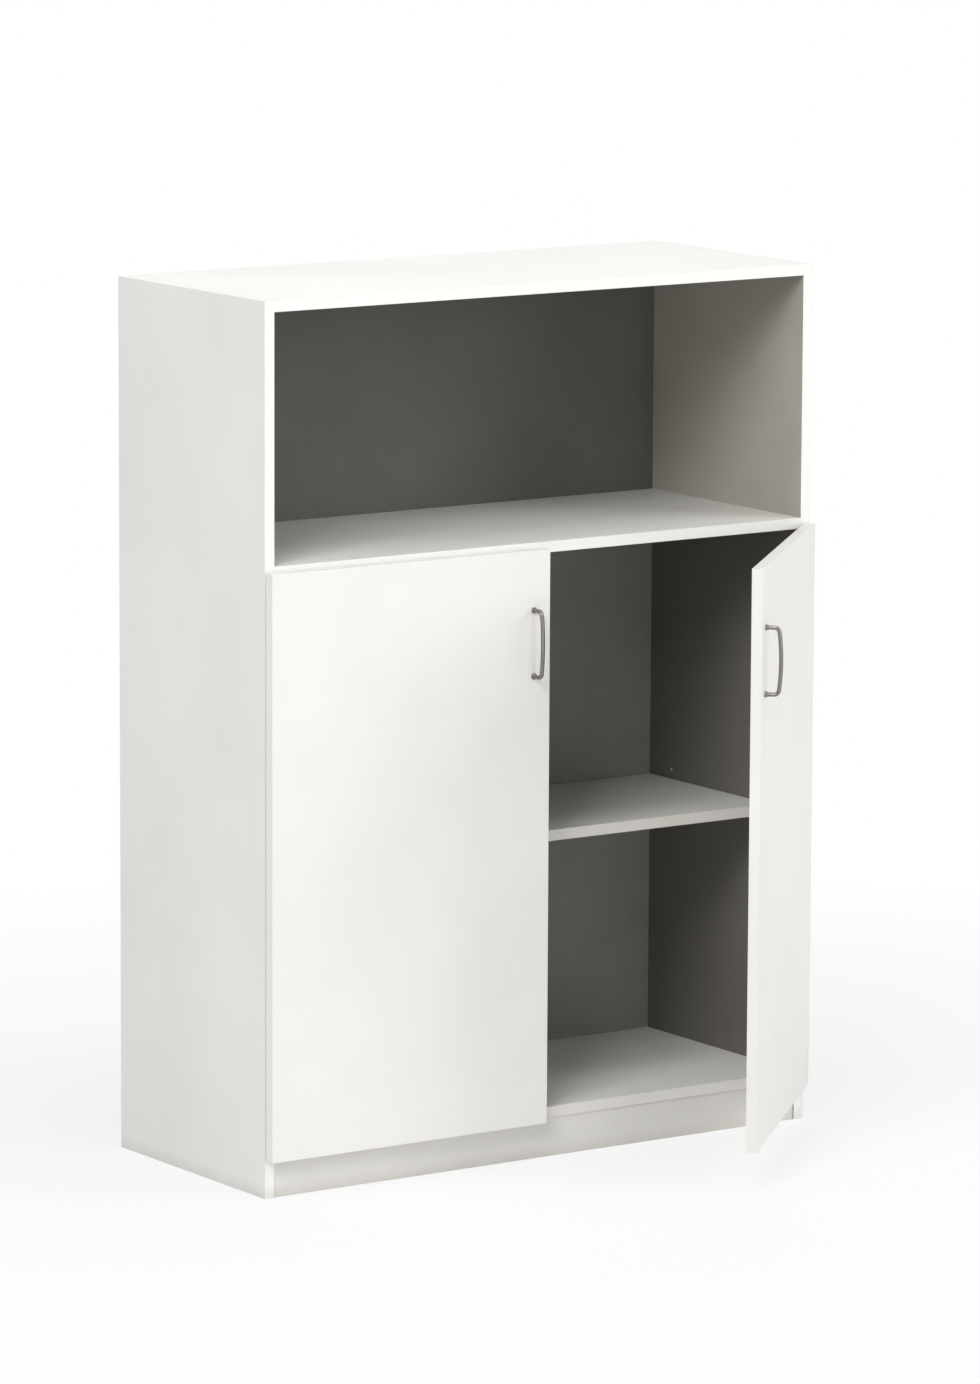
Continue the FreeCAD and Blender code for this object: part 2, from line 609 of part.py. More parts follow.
# Mounting plate: base with two round wings, and a rail that the arm sits on
HOLD_LINE = "(-plate_screw_line)"
PLATE_SCREW_LEVELS = ("-plate_screw_spread", "plate_screw_spread")
wings = [
    peg("plate_wing_radius", "plate_thickness", 0, HOLD_LINE, level, ALONG_X, EYE_SIDES)
    for level in PLATE_SCREW_LEVELS
]
plate = cut(
    fuse(
        block(
            ("0", "plate_thickness"),
            ("(-plate_rear)", "(-plate_front)"),
            ("(-plate_half_width)", "plate_half_width"),
        ),
        block(
            ("0", "plate_thickness"),
            (f"({HOLD_LINE} - plate_wing_radius)", f"({HOLD_LINE} + plate_wing_radius)"),
            ("(-plate_screw_spread)", "plate_screw_spread"),
        ),
        *wings,
        block(
            ("plate_thickness", RAIL_TOP),
            ("(-rail_rear)", "(-rail_front)"),
            (f"(fit_gap - {ARM_INNER})", f"({ARM_INNER} - fit_gap)"),
        ),
    ),
    *[
        peg(SHANK_BORE, "plate_thickness + 2 * overrun", "-overrun", HOLD_LINE, level, ALONG_X)
        for level in PLATE_SCREW_LEVELS
    ],
    peg(SHANK_BORE, "arm_screw_depth + bore_overrun", RAIL_TOP, "-arm_screw_line", 0, AGAINST_X),
)
plate_screws = [
    screw("plate_thickness + screw_length", "plate_thickness", HOLD_LINE, level, ALONG_X, AGAINST_X)
    for level in PLATE_SCREW_LEVELS
]

# A pin stands in a bore of as many sides as its own, and turns in an eye whose flats clear its corners
PIN_BORE = "hinge_pin_radius + peg_slack"
EYE_BORE = f"({PIN_BORE}) / cos(180 / {EYE_SIDES})"

# Arm: a channel over the rail, its two walls running on round the pins
REACH = "sqrt((inner_arm_pin_u - outer_arm_pin_u)^2 + (inner_arm_pin_v - outer_arm_pin_v)^2)"
OFF_U = f"(arm_nose_radius * (outer_arm_pin_v - inner_arm_pin_v) / {REACH})"
OFF_V = f"(arm_nose_radius * (inner_arm_pin_u - outer_arm_pin_u) / {REACH})"
NOSE = f"arm_nose_radius / cos(180 / {EYE_SIDES})"
wall_outline = [
    ("outer_arm_pin_u - arm_nose_radius", "-arm_reach"),
    ("outer_arm_pin_u - arm_nose_radius", "outer_arm_pin_v"),
    (f"outer_arm_pin_u + {OFF_U}", f"outer_arm_pin_v + {OFF_V}"),
    (f"inner_arm_pin_u + {OFF_U}", f"inner_arm_pin_v + {OFF_V}"),
    (ARM_TOP, "inner_arm_pin_v"),
    (ARM_TOP, "-arm_reach"),
]
NOSE_END = "(inner_arm_pin_v + arm_nose_radius + overrun)"
arm_inside = (f"(-{ARM_INNER})", ARM_INNER)
arm = cut(
    fuse(
        strip_of(profile(wall_outline, closed=True), ARM_OUTER),
        across(ARM_OUTER, NOSE, A_OUTER, EYE_SIDES),
        across(ARM_OUTER, NOSE, A_INNER, EYE_SIDES),
    ),
    block(("0", RAIL_TOP), ("(-arm_reach - overrun)", "arm_back_front"), arm_inside),
    block(("0", f"({ARM_TOP} + overrun)"), ("arm_back_front", NOSE_END), arm_inside),
    across(f"({ARM_OUTER} + overrun)", PIN_BORE, A_OUTER, PIN_SIDES),
    across(f"({ARM_OUTER} + overrun)", PIN_BORE, A_INNER, PIN_SIDES),
    peg(SHANK_BORE, "arm_wall + 2 * overrun", f"{ARM_TOP} + overrun", "-arm_screw_line", 0, AGAINST_X),
)
arm_pins = [across(ARM_OUTER, "hinge_pin_radius", at, PIN_SIDES) for at in (A_OUTER, A_INNER)]
arm_screw = screw("arm_wall + arm_screw_depth", ARM_TOP, "-arm_screw_line", 0, ALONG_X, AGAINST_X)

# Cup: a flange with two ears on the door, a round barrel in it, and a cheek each side for the pins
INSIDE = f"({CUP_RADIUS} - cup_wall)"
FLOOR = f"({CUP_END} - cup_floor)"
PIN_SEAT = f"({CHEEK} + pin_seat)"
EAR_LEVELS = ("-cup_ear_spread", "cup_ear_spread")
cheeks = [
    block(
        (f"({CUP_CENTRE} - cup_bore_radius)", f"({CUP_CENTRE} - cup_cheek_end)"),
        ("cup_cheek_front", f"({FLOOR} + overrun)"),
        levels,
    )
    for levels in ((f"(-{CHEEK} - cup_bore_radius)", f"(-{CHEEK})"), (CHEEK, f"({CHEEK} + cup_bore_radius)"))
]
cavity = cut(
    peg(
        INSIDE, f"{FLOOR} - {FLANGE_FACE} + overrun", CUP_CENTRE, f"{FLANGE_FACE} - overrun", 0, ALONG_Y,
        sides=CUP_SIDES,
    ),
    *cheeks,
)
cup = cut(
    fuse(
        peg("cup_rim_radius", "cup_flange", CUP_CENTRE, FLANGE_FACE, 0, ALONG_Y, CUP_SIDES),
        block(
            (f"({EAR_LINE} - cup_ear_radius)", f"({EAR_LINE} + cup_ear_radius)"),
            (FLANGE_FACE, "door_gap"),
            ("(-cup_ear_spread)", "cup_ear_spread"),
        ),
        *[
            peg("cup_ear_radius", "cup_flange", EAR_LINE, FLANGE_FACE, level, ALONG_Y, EYE_SIDES)
            for level in EAR_LEVELS
        ],
        peg(CUP_RADIUS, f"{CUP_END} - door_gap", CUP_CENTRE, "door_gap", 0, ALONG_Y, CUP_SIDES),
    ),
    cavity,
    across(f"({PIN_SEAT} + peg_slack)", PIN_BORE, C_OUTER, PIN_SIDES),
    across(f"({PIN_SEAT} + peg_slack)", PIN_BORE, C_INNER, PIN_SIDES),
    *[
        peg(SHANK_BORE, "cup_flange + 2 * overrun", EAR_LINE, f"{FLANGE_FACE} - overrun", level, ALONG_Y)
        for level in EAR_LEVELS
    ],
)
cup_screws = [
    screw("cup_flange + screw_length", EAR_LINE, FLANGE_FACE, level, AGAINST_Y, ALONG_Y)
    for level in EAR_LEVELS
]
stub = f"{PIN_SEAT} - {ARM_INNER}"
cup_pins = [
    across(PIN_SEAT, "hinge_pin_radius", C_OUTER, PIN_SIDES),
    peg("hinge_pin_radius", stub, *C_INNER, ARM_INNER, sides=PIN_SIDES),
    peg("hinge_pin_radius", stub, *C_INNER, f"-{ARM_INNER}", AGAINST_Z, PIN_SIDES),
]


# Links: bent strips. The outer one turns on both its pins, the inner one's far end runs free between two pins
def link(start, end, shares, eyes):
    run = [f"({end[axis]} - {start[axis]})" for axis in (0, 1)]
    points = [
        (
            f"{start[0]} + {along} * {run[0]} - ({side}) * {run[1]}",
            f"{start[1]} + {along} * {run[1]} + ({side}) * {run[0]}",
        )
        for along, side in shares
    ]
    metal = add("Part::Offset2D", Value="link_half_thickness")
    metal.Source = profile(points, closed=False)
    metal.Mode = "Pipe"
    metal.Join = "Intersection"
    metal.Fill = True
    return cut(
        fuse(
            strip_of(metal, "link_half_width"),
            *[across("link_half_width", "link_eye_radius", eye, EYE_SIDES) for eye in eyes],
        ),
        *[across("(link_half_width + overrun)", EYE_BORE, eye, EYE_SIDES) for eye in eyes],
    )


outer_link = link(A_OUTER, C_OUTER, OUTER_BEND_SHARES, (A_OUTER, C_OUTER))
inner_link = link(A_INNER, ("inner_link_end_u", "inner_link_end_v"), INNER_BEND_SHARES, (A_INNER,))


# Both hinges of each door, and the door with what it carries
def swing(node, angle, pivot, carried):
    """Turns a node about a pivot that has itself been carried somewhere."""
    lean, rise = f"cos({angle})", f"sin({angle})"
    return bind(
        node,
        Placement__Rotation__Angle=angle,
        Placement__Base__x=f"{carried[0]} - ({pivot[0]} * {lean} - {pivot[1]} * {rise})",
        Placement__Base__y=f"{carried[1]} - ({pivot[0]} * {rise} + {pivot[1]} * {lean})",
    )


def in_cabinet(side, pin):
    """A hinge pin's place in the cabinet."""
    return on_side(side, f"({HALF_BAY} - {pin[0]})"), f"({FRONT} - {pin[1]})"


def hinges(name, label, pieces):
    """The same pieces of a side's two hinges, as one node."""
    seat = on_side(SIDES[name], HALF_BAY)
    facing = (UPWARD, 180) if SIDES[name] > 0 else (RIGHTWARD, 180)
    copies = [again(piece, seat, FRONT, height, facing) for height in HINGE_HEIGHTS for piece in pieces]
    return group(f"{name}_{label}", copies)


for name, side in SIDES.items():
    opened = on_side(side, f"{name}_door_angle")
    outer_turn = f"({opened} * outer_link_share)"
    inner_turn = f"({opened} * inner_link_share)"
    fixed = in_cabinet(side, A_OUTER)
    far = in_cabinet(side, C_OUTER)
    reach = [f"({far[axis]} - {fixed[axis]})" for axis in (0, 1)]
    carried = (
        f"({fixed[0]} + {reach[0]} * cos({outer_turn}) - {reach[1]} * sin({outer_turn}))",
        f"({fixed[1]} + {reach[0]} * sin({outer_turn}) + {reach[1]} * cos({outer_turn}))",
    )
    hinges(name, "hinge_plates", [plate])
    hinges(name, "plate_screws", plate_screws)
    hinges(name, "hinge_arms", [arm])
    hinges(name, "arm_pins", arm_pins)
    hinges(name, "arm_screws", [arm_screw])
    swing(hinges(name, "outer_links", [outer_link]), outer_turn, fixed, fixed)
    inner_fixed = in_cabinet(side, A_INNER)
    swing(hinges(name, "inner_links", [inner_link]), inner_turn, inner_fixed, inner_fixed)

    x = on_side(side, HANDLE_LINE)
    screws = [again(handle_screw, x, DOOR_INSIDE, f"{HANDLE_FOOT} + {leg}") for leg in HANDLE_LEGS]
    for node in (
        doors[side],
        hinges(name, "hinge_cups", [cup]),
        hinges(name, "cup_screws", cup_screws),
        hinges(name, "cup_pins", cup_pins),
        group(f"{name}_handle", [again(handle, x, DOOR_OUTSIDE, HANDLE_FOOT)]),
        group(f"{name}_handle_screws", screws),
    ):
        swing(node, opened, far, carried)

doc.recompute()
for thing in doc.Objects:
    if "Invalid" in thing.State or "Error" in thing.State:
        raise RuntimeError(f"{thing.Label} was left {thing.State}")
for node in nodes:
    if node.Shape.isNull() or not node.Shape.isValid():
        raise RuntimeError(f"{node.Label} has no valid shape")
os.makedirs("parts", exist_ok=True)
for node in nodes:
    node.Shape.exportStep(f"parts/{node.Label}.step")
    print(f"{node.Label}: {len(node.Shape.Solids)} solids, {node.Shape.Volume / 1000:.2f} cm3")
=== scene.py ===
import json
import math

import bpy
import numpy as np
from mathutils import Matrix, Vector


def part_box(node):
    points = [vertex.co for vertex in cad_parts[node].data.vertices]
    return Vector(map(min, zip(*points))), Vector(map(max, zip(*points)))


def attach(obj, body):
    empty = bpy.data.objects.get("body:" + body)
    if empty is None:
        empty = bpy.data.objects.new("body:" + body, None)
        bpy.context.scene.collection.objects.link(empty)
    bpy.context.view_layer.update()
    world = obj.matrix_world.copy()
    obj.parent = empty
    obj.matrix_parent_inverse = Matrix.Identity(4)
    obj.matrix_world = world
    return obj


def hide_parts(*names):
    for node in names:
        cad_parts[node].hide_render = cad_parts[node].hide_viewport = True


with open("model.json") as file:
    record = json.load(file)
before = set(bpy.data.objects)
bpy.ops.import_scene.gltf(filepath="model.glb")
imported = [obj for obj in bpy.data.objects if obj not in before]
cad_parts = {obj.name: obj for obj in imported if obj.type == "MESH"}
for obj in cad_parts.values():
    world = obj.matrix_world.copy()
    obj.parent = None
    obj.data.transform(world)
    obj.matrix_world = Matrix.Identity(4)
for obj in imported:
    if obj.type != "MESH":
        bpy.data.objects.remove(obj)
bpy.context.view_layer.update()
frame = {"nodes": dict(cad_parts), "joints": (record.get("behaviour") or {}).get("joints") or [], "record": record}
nodes = frame["nodes"]
joints = {joint["name"]: joint for joint in frame["joints"]}
print("frame loaded:", len(nodes), "nodes")


# screen levels from 0 to 255, as a colour for a shader socket
def screenColour(red, green, blue):
    levels = np.array([red, green, blue]) / 255
    linear = np.where(levels <= 0.04045, levels / 12.92, ((levels + 0.055) / 1.055) ** 2.4)
    return (*linear.tolist(), 1)


# node helpers shared by the finishes below
def newFinish(name, metallic=0.0, specular=0.5):
    material = bpy.data.materials.new(name)
    material.use_nodes = True
    tree = material.node_tree
    shader = tree.nodes["Principled BSDF"]
    shader.inputs["Metallic"].default_value = metallic
    shader.inputs["Specular IOR Level"].default_value = specular
    return material, tree, shader, tree.nodes.new("ShaderNodeTexCoord").outputs["Object"]


def wire(tree, source, socket):
    if hasattr(source, "is_linked"):
        tree.links.new(source, socket)
    else:
        socket.default_value = source


def stretched(tree, place, scale):
    mapping = tree.nodes.new("ShaderNodeMapping")
    mapping.inputs["Scale"].default_value = scale
    tree.links.new(place, mapping.inputs["Vector"])
    return mapping.outputs["Vector"]


def cloudy(tree, place, scale, detail, roughness=0.55):
    texture = tree.nodes.new("ShaderNodeTexNoise")
    texture.inputs["Scale"].default_value = scale
    texture.inputs["Detail"].default_value = detail
    texture.inputs["Roughness"].default_value = roughness
    tree.links.new(place, texture.inputs["Vector"])
    return texture.outputs["Fac"]


def spread(tree, value, low, high, start=0.0, end=1.0):
    remap = tree.nodes.new("ShaderNodeMapRange")
    for socket, number in (("From Min", start), ("From Max", end), ("To Min", low), ("To Max", high)):
        remap.inputs[socket].default_value = number
    tree.links.new(value, remap.inputs["Value"])
    return remap.outputs["Result"]


# noise keeps near its middle, so its middle part is drawn out to run from 0 to 1
def contrasted(tree, noise, low=0.35, high=0.65):
    return spread(tree, noise, 0, 1, low, high)


def blended(tree, share, first, second):
    mix = tree.nodes.new("ShaderNodeMix")
    mix.data_type = "RGBA"
    wire(tree, share, mix.inputs[0])
    wire(tree, first, mix.inputs[6])
    wire(tree, second, mix.inputs[7])
    return mix.outputs[2]


def reckoned(tree, kind, first, second):
    node = tree.nodes.new("ShaderNodeMath")
    node.operation = kind
    wire(tree, first, node.inputs[0])
    wire(tree, second, node.inputs[1])
    return node.outputs["Value"]


def axesOf(tree, vector):
    split = tree.nodes.new("ShaderNodeSeparateXYZ")
    tree.links.new(vector, split.inputs["Vector"])
    return {"x": split.outputs["X"], "y": split.outputs["Y"], "z": split.outputs["Z"]}


# 1 for rays of the camera, in mirror images and through glass, 0 for rays that only light a surface
def looked(tree):
    rays = tree.nodes.new("ShaderNodeLightPath").outputs
    seen = reckoned(tree, "MAXIMUM", rays["Is Camera Ray"], rays["Is Glossy Ray"])
    return reckoned(tree, "MAXIMUM", seen, rays["Is Transmission Ray"])


# small bumps; where easedEdge is given, edges are rounded to that radius in the shading
def relief(tree, shader, height, strength, depth, easedEdge=None):
    bump = tree.nodes.new("ShaderNodeBump")
    bump.inputs["Strength"].default_value = strength
    bump.inputs["Distance"].default_value = depth
    tree.links.new(height, bump.inputs["Height"])
    if easedEdge:
        eased = tree.nodes.new("ShaderNodeBevel")
        eased.samples = 4
        eased.inputs["Radius"].default_value = easedEdge
        tree.links.new(eased.outputs["Normal"], bump.inputs["Normal"])
    tree.links.new(bump.outputs["Normal"], shader.inputs["Normal"])


def dress(names, material):
    for name in names:
        mesh = nodes[name].data
        mesh.materials.clear()
        mesh.materials.append(material)


# coated boards: a white pearl coat outside and on top of what lies level, a little lighter on the middle and
# bottom panels' tops as painted light; on the walls inside a warm grey that is painted shade, paler above the
# middle panel, and darker painted shade on the ceilings; the plinth and the bottom panel's front edge are a greyer
# white, painted shade under the doors
board = {
    "white": screenColour(240, 239, 235),
    "whiteCloud": screenColour(235, 233, 229),
    "band": screenColour(241, 241, 238),
    # a greyer white for the plinth and the bottom panel's front edge: painted shade under the doors
    "shadedWhite": screenColour(227, 225, 220),
    "shadedWhiteCloud": screenColour(220, 218, 213),
    # a lighter white for the tops of the middle and bottom panels: painted light
    "litLevelWhite": screenColour(245, 244, 239),
    "litLevelWhiteCloud": screenColour(240, 238, 233),
    # the inner walls' grey is painted shade: lighter above the middle panel, darker below it where less light
    # reaches
    "upperWallShade": screenColour(188, 184, 175),
    "lowerWallShade": screenColour(120, 117, 110),
    "wallCloud": 0.86,
    # darker painted shade on the undersides of the top and middle panels
    "ceilingShade": screenColour(96, 94, 89),
    "shelfBand": screenColour(238, 236, 230),
    "cloudsPerMetre": 3.0,
    "patchesPerMetre": 14,
    "pearlsPerMetre": 1500,
    "pearlRelief": 0.3,
    "pearlDepth": 0.00005,
    "roughness": (0.35, 0.47),
    "patchRoughness": (-0.05, 0.07),
    "gloss": 0.25,
    "easedEdge": 0.0007,
    "dirt": screenColour(172, 167, 158),
    "dirtPerMetre": 90,
    "dirtMost": 0.5,
    "dirtHeight": 0.02,
}
black = (0, 0, 0, 1)
behindMiddle = sum(corner.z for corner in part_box("middle_panel")) / 2
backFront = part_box("back_panel")[0].y


# the sides and undersides listed as (axis, sign, plane): the board's skin beyond that plane, as far as the back
# panel, has the walls' painted shade or the ceilings' darker painted shade; what lies before bandPlane is the
# front edge's band
def coatedBoard(name, shadedSides=(), shadedUndersides=(), bandPlane=None, band="band", coat="white", scuffed=False):
    material, tree, shader, place = newFinish(name, specular=board["gloss"])
    at = axesOf(tree, place)
    cloud = contrasted(tree, cloudy(tree, place, board["cloudsPerMetre"], detail=3))
    colour = blended(tree, cloud, board[coat], board[coat + "Cloud"])
    above = reckoned(tree, "GREATER_THAN", at["z"], behindMiddle)
    # painted shade on the inner walls, paler above the middle panel
    wallShade = blended(tree, above, board["lowerWallShade"], board["upperWallShade"])
    wallShade = blended(tree, reckoned(tree, "MULTIPLY", cloud, 1 - board["wallCloud"]), wallShade, black)
    beforeBack = reckoned(tree, "LESS_THAN", at["y"], backFront)
    # the walls' and ceilings' painted shade reaches back as far as the back panel
    shaded = [(*side, wallShade) for side in shadedSides] + [(*ceilingShade, board["ceilingShade"]) for ceilingShade in shadedUndersides]
    for axis, sign, plane, coating in shaded:
        beyond = reckoned(tree, "GREATER_THAN" if sign > 0 else "LESS_THAN", at[axis], plane)
        colour = blended(tree, reckoned(tree, "MULTIPLY", beyond, beforeBack), colour, coating)
    if bandPlane is not None:
        onBand = reckoned(tree, "LESS_THAN", at["y"], bandPlane)
        colour = blended(tree, onBand, colour, board[band])
    if scuffed:  # a little dirt where shoes and mops reach, broken up by noise
        low = spread(tree, at["z"], board["dirtMost"], 0, 0, board["dirtHeight"])
        dirt = cloudy(tree, place, board["dirtPerMetre"], detail=6, roughness=0.7)
        rubbed = reckoned(tree, "MULTIPLY", low, dirt)
        colour = blended(tree, rubbed, colour, board["dirt"])
    pearls = cloudy(tree, place, board["pearlsPerMetre"], detail=2)
    patches = cloudy(tree, place, board["patchesPerMetre"], detail=4)
    fine = spread(tree, pearls, *board["roughness"])
    coarse = spread(tree, patches, *board["patchRoughness"])
    wire(tree, colour, shader.inputs["Base Color"])
    wire(tree, reckoned(tree, "ADD", coarse, fine), shader.inputs["Roughness"])
    relief(tree, shader, pearls, board["pearlRelief"], board["pearlDepth"], board["easedEdge"])
    return material


# the skin of a board's underside
def underside(name):
    return [("z", -1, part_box(name)[0].z + skin)]


skin = 0.0004
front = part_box("side_panel_left")[0].y + skin
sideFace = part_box("side_panel_right")[0].x + skin
# the side panels' inner faces carry the walls' painted shade
leftInside, rightInside = [("x", 1, -sideFace)], [("x", -1, sideFace)]
dress(["side_panel_left"], coatedBoard("sideCoatLeft", leftInside, bandPlane=front, scuffed=True))
dress(["side_panel_right"], coatedBoard("sideCoatRight", rightInside, bandPlane=front, scuffed=True))
# the top panel's underside carries the ceilings' painted shade
dress(["top_panel"], coatedBoard("topCoat", (), underside("top_panel"), front))
# the middle panel: the lighter white of painted light on top, the ceilings' painted shade beneath
middleCoat = coatedBoard("middleCoat", (), underside("middle_panel"), front, coat="litLevelWhite")
dress(["middle_panel"], middleCoat)
# the bottom panel: painted light on its top, painted shade on its front edge
dress(["bottom_panel"], coatedBoard("bottomCoat", bandPlane=front, band="shadedWhite", coat="litLevelWhite"))
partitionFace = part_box("centre_partition")[1].x - skin
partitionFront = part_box("centre_partition")[0].y + skin
# both faces of the partition carry the walls' painted shade
bothSides = [("x", 1, partitionFace), ("x", -1, -partitionFace)]
partitionCoat = coatedBoard("partitionCoat", bothSides, bandPlane=partitionFront, band="shelfBand")
dress(["centre_partition"], partitionCoat)
# the plinth: a greyer white, painted shade under the doors
dress(["plinth_front", "plinth_rear"], coatedBoard("plinthCoat", coat="shadedWhite", scuffed=True))
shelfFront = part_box("shelf_left")[0].y + skin
dress(["shelf_left", "shelf_right"], coatedBoard("shelfCoat", bandPlane=shelfFront, band="shelfBand"))
dress(["left_door", "right_door"], coatedBoard("doorCoat"))
print("boards coated")

# back panel: a grey painted shade towards the room, darker above the middle panel, raw pressed fibre towards the
# wall
backing = {
    # the room side's grey is painted shade, darker above the middle panel
    "upperBackShade": screenColour(100, 99, 92),
    "lowerBackShade": screenColour(170, 168, 160),
    "coatCloud": 0.84,
    "fibre": screenColour(174, 136, 98),
    "fibreDark": screenColour(140, 104, 70),
    "mottle": screenColour(126, 94, 64),
    "mottleMost": 0.6,
    "mottleEdges": (0.45, 0.7),
    "cloudsPerMetre": 4,
    "mottlesPerMetre": 22,
    "fibresPerMetre": 420,
    "fibreStretch": (1, 1, 3),
    "fibreRelief": 0.3,
    "fibreDepth": 0.0001,
    "roughness": (0.42, 0.62),
}


def backBoard():
    material, tree, shader, place = newFinish("backBoard")
    at = axesOf(tree, place)
    cloud = contrasted(tree, cloudy(tree, place, backing["cloudsPerMetre"], detail=3))
    drawn = stretched(tree, place, backing["fibreStretch"])
    fibres = cloudy(tree, drawn, backing["fibresPerMetre"], detail=6, roughness=0.7)
    above = reckoned(tree, "GREATER_THAN", at["z"], behindMiddle)
    # painted shade on the room side, darker above the middle panel
    coat = blended(tree, above, backing["lowerBackShade"], backing["upperBackShade"])
    coat = blended(tree, reckoned(tree, "MULTIPLY", cloud, 1 - backing["coatCloud"]), coat, black)
    raw = blended(tree, contrasted(tree, fibres), backing["fibre"], backing["fibreDark"])
    mottles = cloudy(tree, place, backing["mottlesPerMetre"], detail=6, roughness=0.7)
    mottled = spread(tree, mottles, 0, backing["mottleMost"], *backing["mottleEdges"])
    raw = blended(tree, mottled, raw, backing["mottle"])
    behind = reckoned(tree, "GREATER_THAN", at["y"], backFront + skin)
    wire(tree, blended(tree, behind, coat, raw), shader.inputs["Base Color"])
    wire(tree, spread(tree, fibres, *backing["roughness"]), shader.inputs["Roughness"])
    relief(tree, shader, fibres, backing["fibreRelief"], backing["fibreDepth"])
    return material


dress(["back_panel"], backBoard())

# satin metal of the handles: fine lines along the bar
satin = {
    "metal": screenColour(146, 143, 137),
    "metalDark": screenColour(112, 110, 105),
    "patchesPerMetre": 60,
    "linesPerMetre": 2600,
    "lineStretch": (1, 1, 0.03),
    "lineRelief": 0.2,
    "lineDepth": 0.00004,
    "roughness": (0.24, 0.42),
}


def satinMetal():
    material, tree, shader, place = newFinish("satinMetal", metallic=1.0)
    drawn = stretched(tree, place, satin["lineStretch"])
    lines = cloudy(tree, drawn, satin["linesPerMetre"], detail=3, roughness=0.6)
    patches = cloudy(tree, place, satin["patchesPerMetre"], detail=3)
    wire(tree, blended(tree, patches, satin["metal"], satin["metalDark"]), shader.inputs["Base Color"])
    wire(tree, spread(tree, lines, *satin["roughness"]), shader.inputs["Roughness"])
    relief(tree, shader, lines, satin["lineRelief"], satin["lineDepth"])
    return material


# plated steel of the hinges, screws and pins: bright, with faint rolling marks
plated = {
    "steel": screenColour(226, 225, 222),
    "steelDull": screenColour(204, 202, 198),
    "patchesPerMetre": 90,
    "marksPerMetre": 1400,
    "markStretch": (1, 0.12, 1),
    "markRelief": 0.15,
    "markDepth": 0.00003,
    "roughness": (0.24, 0.44),
}


def platedSteel():
    material, tree, shader, place = newFinish("platedSteel", metallic=1.0)
    drawn = stretched(tree, place, plated["markStretch"])
    marks = cloudy(tree, drawn, plated["marksPerMetre"], detail=3, roughness=0.6)
    patches = cloudy(tree, place, plated["patchesPerMetre"], detail=4)
    wire(tree, blended(tree, patches, plated["steel"], plated["steelDull"]), shader.inputs["Base Color"])
    wire(tree, spread(tree, marks, *plated["roughness"]), shader.inputs["Roughness"])
    relief(tree, shader, marks, plated["markRelief"], plated["markDepth"])
    return material


# cast zinc of the cam locks: dull and slightly pitted
castZinc = {
    "zinc": screenColour(188, 189, 190),
    "zincDull": screenColour(150, 152, 154),
    "patchesPerMetre": 120,
    "pitsPerMetre": 1800,
    "pitRelief": 0.4,
    "pitDepth": 0.00008,
    "roughness": (0.36, 0.58),
}


def castMetal():
    material, tree, shader, place = newFinish("castZinc", metallic=1.0)
    pits = cloudy(tree, place, castZinc["pitsPerMetre"], detail=5, roughness=0.7)
    patches = cloudy(tree, place, castZinc["patchesPerMetre"], detail=3)
    wire(tree, blended(tree, patches, castZinc["zinc"], castZinc["zincDull"]), shader.inputs["Base Color"])
    wire(tree, spread(tree, pits, *castZinc["roughness"]), shader.inputs["Roughness"])
    relief(tree, shader, pits, castZinc["pitRelief"], castZinc["pitDepth"])
    return material


# beech of the dowels: pale, with darker grain along them
beech = {
    "pale": screenColour(214, 180, 138),
    "dark": screenColour(176, 134, 92),
    "grainPerMetre": 900,
    "grainStretch": (0.1, 1, 1),
    "grainEdges": (0.3, 0.7),
    "grainRelief": 0.4,
    "grainDepth": 0.0001,
    "roughness": (0.52, 0.7),
}


def bareWood():
    material, tree, shader, place = newFinish("bareBeech")
    drawn = stretched(tree, place, beech["grainStretch"])
    grain = cloudy(tree, drawn, beech["grainPerMetre"], detail=5, roughness=0.65)
    colour = blended(tree, contrasted(tree, grain, *beech["grainEdges"]), beech["pale"], beech["dark"])
    wire(tree, colour, shader.inputs["Base Color"])
    wire(tree, spread(tree, grain, *beech["roughness"]), shader.inputs["Roughness"])
    relief(tree, shader, grain, beech["grainRelief"], beech["grainDepth"])
    return material


satinFinish, platedFinish, zincFinish = satinMetal(), platedSteel(), castMetal()
steelParts = ("hinge_plates", "plate_screws", "hinge_arms", "arm_pins", "arm_screws")
steelParts += ("outer_links", "inner_links", "hinge_cups", "cup_screws", "cup_pins", "handle_screws")
dress([f"{side}_{part}" for side in ("left", "right") for part in steelParts], platedFinish)
dress(["shelf_pins", "cam_bolts"], platedFinish)
dress(["cam_locks"], zincFinish)
dress(["dowels"], bareWood())
dress(["left_handle", "right_handle"], satinFinish)
print("metal and wood dressed")


creaseAngle = math.radians(38)


